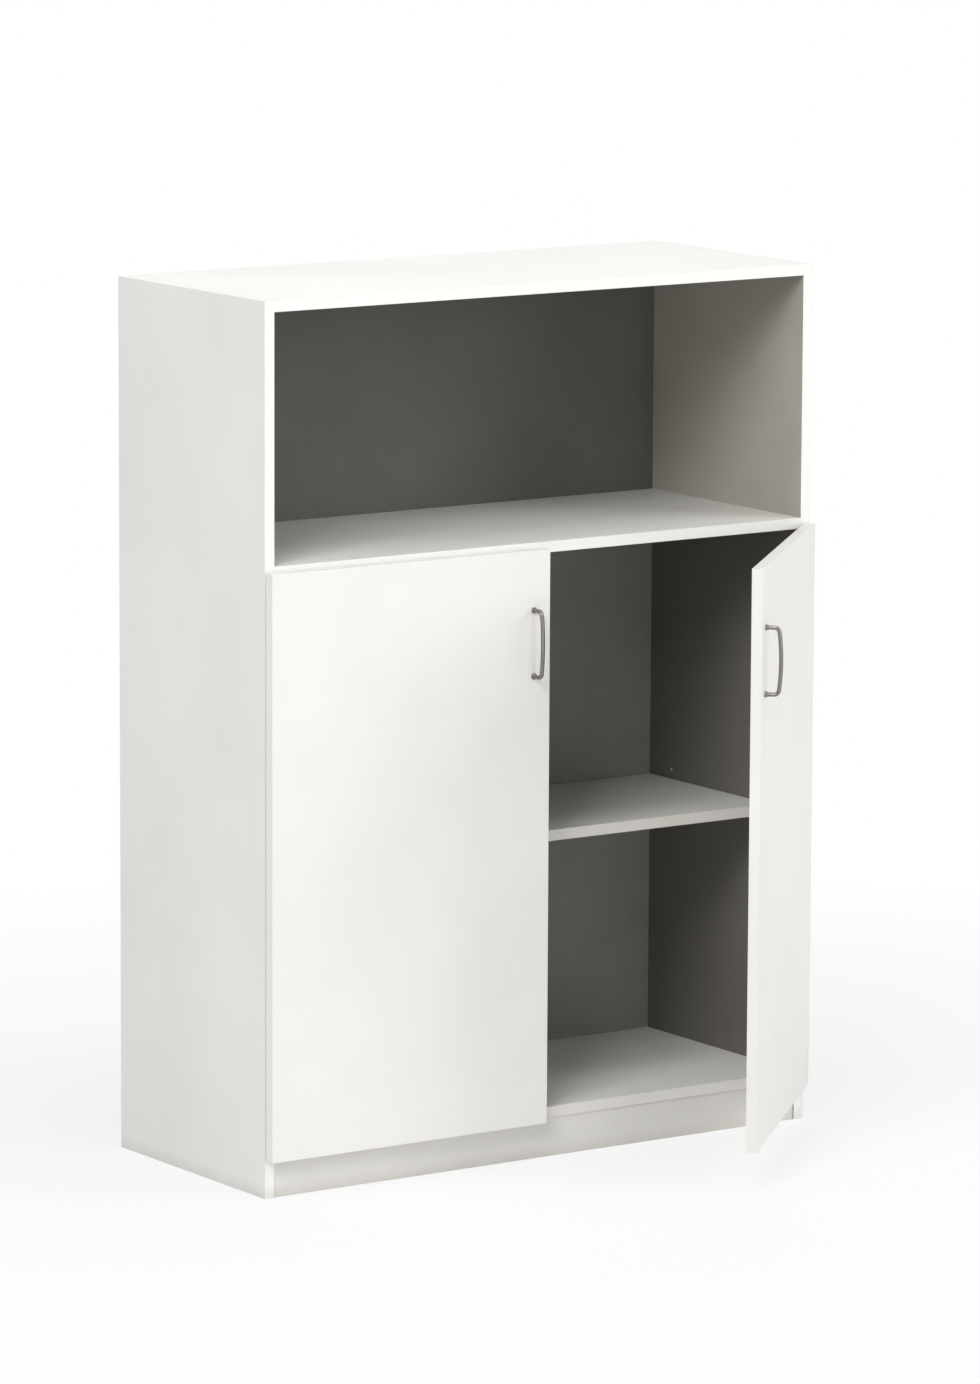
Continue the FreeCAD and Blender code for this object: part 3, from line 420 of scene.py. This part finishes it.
# each solid is a grid of points: rows of rings, closed round, with a single point closing each end;
# the sign of the solid's volume tells which way its faces must turn
def skinOf(name, solids, finish, body, replaced):
    points, faces, count = [], [], 0
    for rings in solids:
        rows, around = rings.shape[:2]
        points.append(np.vstack([rings.reshape(-1, 3), rings[0].mean(0), rings[-1].mean(0)]))
        row, step = np.meshgrid(np.arange(rows - 1), np.arange(around), indexing="ij")
        following = (step + 1) % around
        quads = np.stack([row, row, row + 1, row + 1], -1) * around
        quads = (quads + np.stack([step, following, following, step], -1)).reshape(-1, 4)
        turn = np.arange(around)
        after = (turn + 1) % around
        last = (rows - 1) * around
        start = np.stack([after, turn, np.full(around, rows * around)], -1)
        end = np.stack([last + turn, last + after, np.full(around, rows * around + 1)], -1)
        fans = np.vstack([start, end, quads[:, [0, 1, 2]], quads[:, [0, 2, 3]]])
        corners = points[-1][fans] - points[-1].mean(0)
        volume = np.einsum("ij,ij->", corners[:, 0], np.cross(corners[:, 1], corners[:, 2]))
        way = 1 if volume > 0 else -1
        for part in (quads, start, end):
            faces += (part[:, ::way] + count).tolist()
        count += len(points[-1])
    mesh = bpy.data.meshes.new(name)
    mesh.from_pydata(np.vstack(points).tolist(), [], faces)
    mesh.validate()
    mesh.shade_smooth()
    mesh.set_sharp_from_angle(angle=creaseAngle)
    mesh.materials.append(finish)
    piece = bpy.data.objects.new(name, mesh)
    bpy.context.scene.collection.objects.link(piece)
    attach(piece, body)
    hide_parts(*replaced)
    return piece


# what hangs on the right door is drawn on the shut door, then carried by the links to where it stands open
follow = {row["joint"]: row["ratio"] for row in frame["record"]["behaviour"]["couplings"]}
openTurn = -joints["right_door_swing"]["range_deg"][0] * (1 + follow["right_outer_link_turn"])
shutPivot = np.array(joints["left_door_swing"]["pos_m"]) * (-1, 1, 1)
openPivot = np.array(joints["right_door_swing"]["pos_m"])


def opened(points):
    angle = math.radians(openTurn)
    along, across = math.cos(angle), math.sin(angle)
    turn = np.array([[along, across, 0], [-across, along, 0], [0, 0, 1]])
    return (points - shutPivot) @ turn + openPivot


def hung(side, points):
    return opened(points) if side == "right" else points


# bow handle: two flared legs and a slightly arched bar, one round section carried along one smooth line
bow = {
    "fromMiddle": 0.029,
    "lowLeg": 0.715,
    "highLeg": 0.811,
    "face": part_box("left_door")[0].y,
    "height": 0.0227,
    "archRadius": 0.330,
    "bendRadius": 0.007,
    "barRadius": 0.003,
    "footRadius": 0.0046,
    "footHeight": 0.006,
    "around": 40,
    "legRows": 21,
    "legCrowding": 1.5,
    "bendRows": 14,
    "archRows": 17,
}


# centre line in words: out along the leg, a quarter bend, the arch, and the same mirrored;
# the section is a circle across the line, its radius easing from foot to bar over the foot's height
def bowRings():
    half = (bow["highLeg"] - bow["lowLeg"]) / 2
    bend, arch, height = bow["bendRadius"], bow["archRadius"], bow["height"]
    sine = (half - bend) / (arch - bend)
    legLength = height - arch + (arch - bend) * math.cos(math.asin(sine))
    out = np.linspace(0, 1, bow["legRows"], endpoint=False) ** bow["legCrowding"] * legLength
    leg = np.stack([out, np.full_like(out, half)], -1)
    legWay = np.stack([np.ones_like(out), np.zeros_like(out)], -1)
    angle = np.linspace(0, math.pi / 2 - math.asin(sine), bow["bendRows"], endpoint=False)
    corner = np.stack([legLength + bend * np.sin(angle), half - bend + bend * np.cos(angle)], -1)
    cornerWay = np.stack([np.cos(angle), -np.sin(angle)], -1)
    sweep = np.linspace(math.asin(sine), 0, bow["archRows"])
    crown = np.stack([height - arch + arch * np.cos(sweep), arch * np.sin(sweep)], -1)
    crownWay = np.stack([np.sin(sweep), -np.cos(sweep)], -1)
    line, way = np.vstack([leg, corner, crown]), np.vstack([legWay, cornerWay, crownWay])
    line = np.vstack([line, line[-2::-1] * (1, -1)])
    way = np.vstack([way, way[-2::-1] * (-1, 1)])
    rise = np.clip(line[:, 0] / bow["footHeight"], 0, 1)
    radius = bow["barRadius"] + (bow["footRadius"] - bow["barRadius"]) * (1 - rise * rise * (3 - 2 * rise))
    turn = np.linspace(0, 2 * math.pi, bow["around"], endpoint=False)
    across = np.stack([-way[:, 1], way[:, 0]], -1)
    flat = line[:, None] + radius[:, None, None] * np.cos(turn)[None, :, None] * across[:, None]
    sideways = radius[:, None] * np.sin(turn)[None]
    middle = (bow["lowLeg"] + bow["highLeg"]) / 2
    return np.stack([sideways, bow["face"] - flat[..., 0], middle + flat[..., 1]], -1)


rings = bowRings()
for side, sign in (("left", -1), ("right", 1)):
    bar = hung(side, rings + (sign * bow["fromMiddle"], 0, 0))
    skinOf(f"{side}_bow_handle", [bar], satinFinish, f"{side}_door", [f"{side}_handle"])
print("handles bent")

# screws: low domed heads with a cross recess, and threaded shanks in the boards
screws = {
    "around": 40,
    "headRows": 16,
    "shankRows": 44,
    "middle": 0.02,
    "dome": 0.45,
    "recessDepth": 0.0007,
    "recessReach": 0.62,
    "recessWidth": 0.2,
    "recessSides": 1.6,
    "recessEnds": 4,
    "threadDepth": 0.00035,
    "threadPitch": 0.0016,
    "threadStart": 0.001,
    "threadEnd": 0.002,
    "threadAtTip": 0.15,
    "pointLength": 0.0016,
    "tip": 0.2,
    "hinge": {"head": 0.0034, "rise": 0.0011, "shank": 0.0017},
    "handle": {"head": 0.0040, "rise": 0.0018, "shank": 0.00185},
    "armLength": 0.0078,
    "plateLength": 0.0117,
    "cupLength": 0.0107,
    "handleLength": 0.0238,
    "doorInside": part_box("left_door")[1].y,
}


# grid in words: rows run from the head's middle over its dome and rim, under it and along the shank to the
# tip; the recess sinks where a point is near one of two crossed lines; the thread is a wave in the shank's
# radius that climbs one pitch a turn
def screwRings(kind, length, seat, outward):
    sizes = screws[kind]
    turn = np.linspace(0, 2 * math.pi, screws["around"], endpoint=False)
    share = np.linspace(screws["middle"], 1, screws["headRows"])
    across = sizes["head"] * share[:, None] * np.cos(turn)[None]
    along = sizes["head"] * share[:, None] * np.sin(turn)[None]
    rim = sizes["rise"] * (1 - screws["dome"])
    rise = rim + (sizes["rise"] - rim) * np.sqrt(np.clip(1 - share**2, 0, 1))[:, None]
    width, reach = screws["recessWidth"] * sizes["head"], screws["recessReach"] * sizes["head"]
    small, large = np.minimum(abs(across), abs(along)), np.maximum(abs(across), abs(along))
    sunk = np.clip(screws["recessSides"] * (1 - small / width), 0, 1)
    sunk = sunk * np.clip(screws["recessEnds"] * (1 - large / reach), 0, 1)
    head = np.stack([across, along, rise - screws["recessDepth"] * sunk], -1)
    depth = np.linspace(0, length, screws["shankRows"])
    wave = np.abs((depth[:, None] / screws["threadPitch"] - turn[None] / (2 * math.pi)) % 1 * 2 - 1)
    taper = np.clip((length - depth) / screws["threadEnd"], screws["threadAtTip"], 1)
    taper = taper * np.clip(depth / screws["threadStart"], 0, 1)
    radius = sizes["shank"] * np.clip((length - depth) / screws["pointLength"], screws["tip"], 1)[:, None]
    radius = radius - screws["threadDepth"] * wave * taper[:, None]
    shank = np.stack([radius * np.cos(turn), radius * np.sin(turn), -depth[:, None] + 0 * radius], -1)
    foot = np.stack([sizes["head"] * np.cos(turn), sizes["head"] * np.sin(turn), 0 * turn], -1)[None]
    local = np.vstack([head, foot, shank])
    outward = np.array(outward, float)
    first = np.cross(outward, (0, 0, 1))
    second = np.cross(outward, first)
    return local @ np.stack([first, second, outward]) + np.array(seat)


# hinge places on the right side: a face is what lies under a screw's head, a line is where the screw stands
# on it. On the side panel, faces are how far from the cabinet's middle and lines how far back; on the door,
# its face is how far back and its line how far from the middle. Spreads go up and down from a height
hinge = {
    "heights": (0.151, 0.802),
    "panelFace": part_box("side_panel_right")[0].x,
    "carcassFront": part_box("side_panel_right")[0].y,
    "plateFace": 0.4571,
    "plateLine": 0.027,
    "plateSpread": 0.016,
    "armFace": 0.4448,
    "armLine": 0.040,
    "cupLine": 0.4435,
    "cupFace": -0.0111,
    "cupSpread": 0.0225,
}


# hinge cups and pins, in the hinge's own lengths: inward from the side panel, then forward from the carcass
cups = {
    "centre": 0.006,
    "rim": 0.019,
    "barrel": 0.0173,
    "inside": 0.01655,
    "flangeFace": 0.0011,
    "doorFace": 0.002,
    "cheekFront": 0.0032,
    "floor": 0.0140,
    "end": 0.0147,
    "corridor": 0.0066,
    "cheekEnd": 0.0065,
    "ear": 0.0055,
    "earOffset": 0.0095,
    "earSpread": 0.0225,
    "earLimit": 0.03,
    "endMiddle": 0.004,
    "floorMiddle": 0.003,
    "eased": 0.0004,
    "around": 240,
}
pins = {
    "radius": 0.0009,
    "slope": 0.15,
    "armPins": ((0.0052, -0.0123), (0.0112, 0.0044)),
    "armReach": 0.0063,
    "cupPin": (-0.0080, 0.0049),
    "cupStubs": (-0.0034, 0.0103),
    "cupReach": 0.0074,
    "stubStart": 0.0053,
    "around": 32,
}


# outlines in words: the flange is the farthest of a circle and two ears that a ray from the cup's middle
# meets; the well is the nearest of a circle and the two cheeks, which leave a corridor for the links;
# rows run from the barrel's end up its wall, out along the flange, back over it and down into the well
def cupRings(height):
    angle = np.linspace(-math.pi, math.pi, cups["around"], endpoint=False)
    along, up = np.cos(angle), abs(np.sin(angle))
    tiny = 1e-9
    toEar = cups["earOffset"] * along + cups["earSpread"] * up
    past = cups["earOffset"] ** 2 + cups["earSpread"] ** 2 - toEar**2
    tip = toEar + np.sqrt(np.maximum(cups["ear"] ** 2 - past, 0))
    tip = np.where(past < cups["ear"] ** 2, tip, 0)
    side = cups["earOffset"] + cups["ear"]
    facing = (along > 0) & (side * up <= cups["earSpread"] * along)
    straight = np.where(facing, side / np.maximum(along, tiny), 0)
    straight = np.where(straight < cups["earLimit"], straight, 0)
    flange = np.maximum(cups["rim"], np.maximum(tip, straight))
    corner = math.atan2(cups["corridor"], cups["cheekEnd"])
    fromArm = np.arctan2(up, -along)
    cheek, end = cups["corridor"] / np.maximum(up, tiny), cups["cheekEnd"] / np.maximum(-along, tiny)
    wall = np.where(fromArm < corner, cheek, end)
    well = np.where(along < 0, np.minimum(cups["inside"], wall), cups["inside"])
    near, far = 0.6 * cups["eased"], 2 * cups["eased"]  # where an eased edge starts and ends
    circle = np.ones_like(angle)
    barrel, inside, flangeFace = cups["barrel"], cups["inside"], cups["flangeFace"]
    rows = [
        (circle * cups["endMiddle"], cups["end"]),
        (circle * (barrel - far), cups["end"]),
        (circle * (barrel - near), cups["end"] - near),
        (circle * barrel, cups["end"] - far),
        (circle * barrel, cups["doorFace"]),
        (flange, cups["doorFace"]),
        (flange, flangeFace + near),
        (flange - near, flangeFace),
        (circle * (inside + far), flangeFace),
        (circle * (inside + near), flangeFace + near),
        (circle * inside, flangeFace + far),
        (circle * inside, cups["cheekFront"]),
        (well, cups["cheekFront"]),
        (well, cups["floor"] - far),
        (well - near, cups["floor"] - near),
        (well - far, cups["floor"]),
        (circle * cups["floorMiddle"], cups["floor"]),
    ]
    radius = np.stack([row[0] for row in rows])
    forward = np.array([row[1] for row in rows])[:, None] + 0 * radius
    return placed(cups["centre"] + radius * np.cos(angle), forward, height + radius * np.sin(angle))


# the hinge's own lengths as a place on the shut left side
def placed(inward, forward, level):
    inward, forward, level = np.broadcast_arrays(inward, forward, level)
    return np.stack([inward - hinge["panelFace"], hinge["carcassFront"] - forward, level], -1)


# pin: a circle carried upward, its edges broken by a small slope
def pinRings(at, low, high):
    turn = np.linspace(0, 2 * math.pi, pins["around"], endpoint=False)
    slope = pins["radius"] * pins["slope"]
    radius = pins["radius"] - slope * np.array([1, 0, 0, 1])[:, None]
    level = np.array([low, low + slope, high - slope, high])[:, None] + 0 * turn
    return placed(at[0] + radius * np.cos(turn), at[1] + radius * np.sin(turn), level)


# cups and pins of one side's hinges: the arm's pins stay on the carcass, the cup's ride on the door
def hinged(side):
    mirror = (1, 1, 1) if side == "left" else (-1, 1, 1)
    cup, cupPins, armPins = [], [], []
    for height in hinge["heights"]:
        cup.append(hung(side, cupRings(height) * mirror))
        reach, start = pins["cupReach"], pins["stubStart"]
        through, stubs = pins["cupPin"], pins["cupStubs"]
        spans = [(through, -reach, reach), (stubs, -reach, -start), (stubs, start, reach)]
        for at, low, high in spans:
            cupPins.append(hung(side, pinRings(at, height + low, height + high) * mirror))
        reach = pins["armReach"]
        armPins += [pinRings(at, height - reach, height + reach) * mirror for at in pins["armPins"]]
    door = f"{side}_door"
    skinOf(f"{side}_drawn_cups", cup, platedFinish, door, [f"{side}_hinge_cups"])
    skinOf(f"{side}_cup_rivets", cupPins, platedFinish, door, [f"{side}_cup_pins"])
    skinOf(f"{side}_arm_rivets", armPins, platedFinish, "carcass", [f"{side}_arm_pins"])


for side in ("left", "right"):
    hinged(side)
print("hinge cups drawn")

# cam locks: a cap with a cross recess over a wall that is open towards its bolt
cams = {
    "around": 72,
    "faceRows": 22,
    "middle": 0.02,
    "faceReach": 0.94,
    "backReach": 0.2,
    "eased": 0.0005,
    "wallRows": 60,
    "radius": 0.00745,
    "capHeight": 0.0032,
    "depth": 0.0124,
    "wellRadius": 0.0036,
    "mouth": math.radians(26),
    "recessDepth": 0.0018,
    "recessWidth": 0.0009,
    "recessReach": 0.0040,
    "recessSides": 3,
    "recessEnds": 6,
    "fromMiddle": 0.425,
    "lines": (0.050, 0.3058),
    "levels": (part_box("bottom_panel")[0].z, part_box("top_panel")[0].z),
}


# cap in words: rows run from the face's middle to its rim, up the rim and back to the middle, the cross
# sunk near two lines; wall in words: an upright rectangle carried round an arc from one lip of the mouth to
# the other
def camRings(middle, line, level, toSide):
    turn = np.linspace(0, 2 * math.pi, cams["around"], endpoint=False)
    rows, height = cams["faceRows"], cams["capHeight"]
    share = np.linspace(cams["middle"], cams["faceReach"], rows)
    share = np.concatenate([share, [1, 1, cams["backReach"]]])
    rise = np.concatenate([np.zeros(rows), [cams["eased"], height, height]])
    radius = cams["radius"] * share[:, None]
    across, along = radius * np.cos(turn), radius * np.sin(turn)
    small, large = np.minimum(abs(across), abs(along)), np.maximum(abs(across), abs(along))
    width, reach = cams["recessWidth"], cams["recessReach"]
    sunk = np.clip(cams["recessSides"] * (1 - small / width), 0, 1)
    sunk = sunk * np.clip(cams["recessEnds"] * (1 - large / reach), 0, 1)
    sunk = sunk * (np.arange(len(share)) < rows)[:, None]
    cap = np.stack([across, along, rise[:, None] + cams["recessDepth"] * sunk], -1)
    sweep = np.linspace(cams["mouth"], 2 * math.pi - cams["mouth"], cams["wallRows"])[:, None]
    inner, outer = cams["wellRadius"], cams["radius"]
    corners = np.array([inner, outer, outer, inner])
    levels = np.array([height, height, cams["depth"], cams["depth"]])
    wall = np.stack([corners * np.cos(sweep), corners * np.sin(sweep), levels + 0 * sweep], -1)
    return [solid * (toSide, 1, 1) + (middle, line, level) for solid in (cap, wall)]


camSolids = []
for toSide in (-1, 1):
    for line in cams["lines"]:
        for level in cams["levels"]:
            camSolids += camRings(toSide * cams["fromMiddle"], line, level, toSide)
skinOf("cross_head_cams", camSolids, zincFinish, "carcass", ["cam_locks"])
print("cam locks cast")


# screws of one side: drawn on the carcass and the shut door, with their heads towards the middle of the
# cabinet or, in the door, towards its inside
def fastened(side):
    sign = -1 if side == "left" else 1
    inward, backward = (-sign, 0, 0), (0, 1, 0)
    plate, arm, cup, handle = [], [], [], []
    for height in hinge["heights"]:
        seat = (sign * hinge["armFace"], hinge["armLine"], height)
        arm.append(screwRings("hinge", screws["armLength"], seat, inward))
        for up in (-1, 1):
            seat = (sign * hinge["plateFace"], hinge["plateLine"], height + up * hinge["plateSpread"])
            plate.append(screwRings("hinge", screws["plateLength"], seat, inward))
            seat = (sign * hinge["cupLine"], hinge["cupFace"], height + up * hinge["cupSpread"])
            cup.append(hung(side, screwRings("hinge", screws["cupLength"], seat, backward)))
    for height in (bow["lowLeg"], bow["highLeg"]):
        seat = (sign * bow["fromMiddle"], screws["doorInside"], height)
        handle.append(hung(side, screwRings("handle", screws["handleLength"], seat, backward)))
    kinds = {"plate": (plate, "carcass"), "arm": (arm, "carcass")}
    kinds.update({"cup": (cup, f"{side}_door"), "handle": (handle, f"{side}_door")})
    for kind, (solids, body) in kinds.items():
        name, replaced = f"{side}_{kind}_cross_screws", [f"{side}_{kind}_screws"]
        skinOf(name, solids, platedFinish, body, replaced)


for side in ("left", "right"):
    fastened(side)
print("screws driven")

# camera where the photograph was taken from, through a long lens
view = {
    "place": (-5.8117, -8.3995, 2.3809),
    "turn": (math.radians(80.5754), math.radians(-0.2783), math.radians(-34.2357)),
    "lens": 186.82,
    "sensor": 36,
    "farthest": 500,
}
eye = bpy.data.cameras.new("photoCamera")
eye.sensor_fit = "VERTICAL"
eye.sensor_height = view["sensor"]
eye.lens = view["lens"]
eye.clip_end = view["farthest"]
camera = bpy.data.objects.new("photoCamera", eye)
camera.location = view["place"]
camera.rotation_euler = view["turn"]
bpy.context.scene.collection.objects.link(camera)
bpy.context.scene.camera = camera

# soft studio light: a large lamp before the cabinet's left, weaker ones from the right, from low in front
# and from above, and an even sky that is white to look at and dimmer as a light
studio = {
    "sky": screenColour(255, 255, 255),
    "skyStrength": 0.36,
    "aim": (0, 0, 0.7),
    "lamps": {
        "keyLamp": {"place": (-4.2, -2.9, 4.4), "size": 2.6, "power": 183},
        "fillLamp": {"place": (4.2, -3.6, 3.0), "size": 2.6, "power": 108},
        "frontLamp": {"place": (0.2, -6.0, 1.3), "size": 2.0, "power": 36},
        "topLamp": {"place": (0.0, -0.2, 4.6), "size": 2.6, "power": 52},
    },
}
world = bpy.data.worlds.new("studioSky")
world.use_nodes = True
tree = world.node_tree
sky = tree.nodes["Background"]
sky.inputs["Color"].default_value = studio["sky"]
wire(tree, reckoned(tree, "MAXIMUM", looked(tree), studio["skyStrength"]), sky.inputs["Strength"])
bpy.context.scene.world = world
for name, lamp in studio["lamps"].items():
    light = bpy.data.lights.new(name, "AREA")
    light.shape = "SQUARE"
    light.size = lamp["size"]
    light.energy = lamp["power"]
    holder = bpy.data.objects.new(name, light)
    way = np.array(studio["aim"]) - np.array(lamp["place"])
    way = way / np.linalg.norm(way)
    holder.location = lamp["place"]
    holder.rotation_euler = (math.acos(-way[2]), 0, math.atan2(way[1], way[0]) - math.pi / 2)
    bpy.context.scene.collection.objects.link(holder)

# floor: pale and plain, glowing white to the camera further off so that only the cabinet's shadow stays
ground = {
    "colour": screenColour(240, 240, 240),
    "reach": 120.0,
    "glow": (0.72, 1.0),
    "glowReach": (0.7, 2.2),
}
mesh = bpy.data.meshes.new("studioFloor")
reach = ground["reach"]
corners = [(-reach, -reach, 0), (reach, -reach, 0), (reach, reach, 0), (-reach, reach, 0)]
mesh.from_pydata(corners, [], [(0, 1, 2, 3)])
floor = bpy.data.objects.new("studioFloor", mesh)
bpy.context.scene.collection.objects.link(floor)
material = bpy.data.materials.new("studioFloor")
material.use_nodes = True
tree = material.node_tree
tree.nodes.clear()
matt = tree.nodes.new("ShaderNodeBsdfDiffuse")
glow = tree.nodes.new("ShaderNodeEmission")
mixed = tree.nodes.new("ShaderNodeMixShader")
out = tree.nodes.new("ShaderNodeOutputMaterial")
away = tree.nodes.new("ShaderNodeVectorMath")
away.operation = "LENGTH"
tree.links.new(tree.nodes.new("ShaderNodeTexCoord").outputs["Object"], away.inputs[0])
share = spread(tree, away.outputs["Value"], *ground["glow"], *ground["glowReach"])
share = reckoned(tree, "MULTIPLY", looked(tree), share)
matt.inputs["Color"].default_value = ground["colour"]
glow.inputs["Strength"].default_value = 1.0
tree.links.new(share, mixed.inputs[0])
tree.links.new(matt.outputs[0], mixed.inputs[1])
tree.links.new(glow.outputs[0], mixed.inputs[2])
tree.links.new(mixed.outputs[0], out.inputs["Surface"])
mesh.materials.append(material)

bpy.context.scene.view_settings.view_transform = "Standard"
print("studio lit")
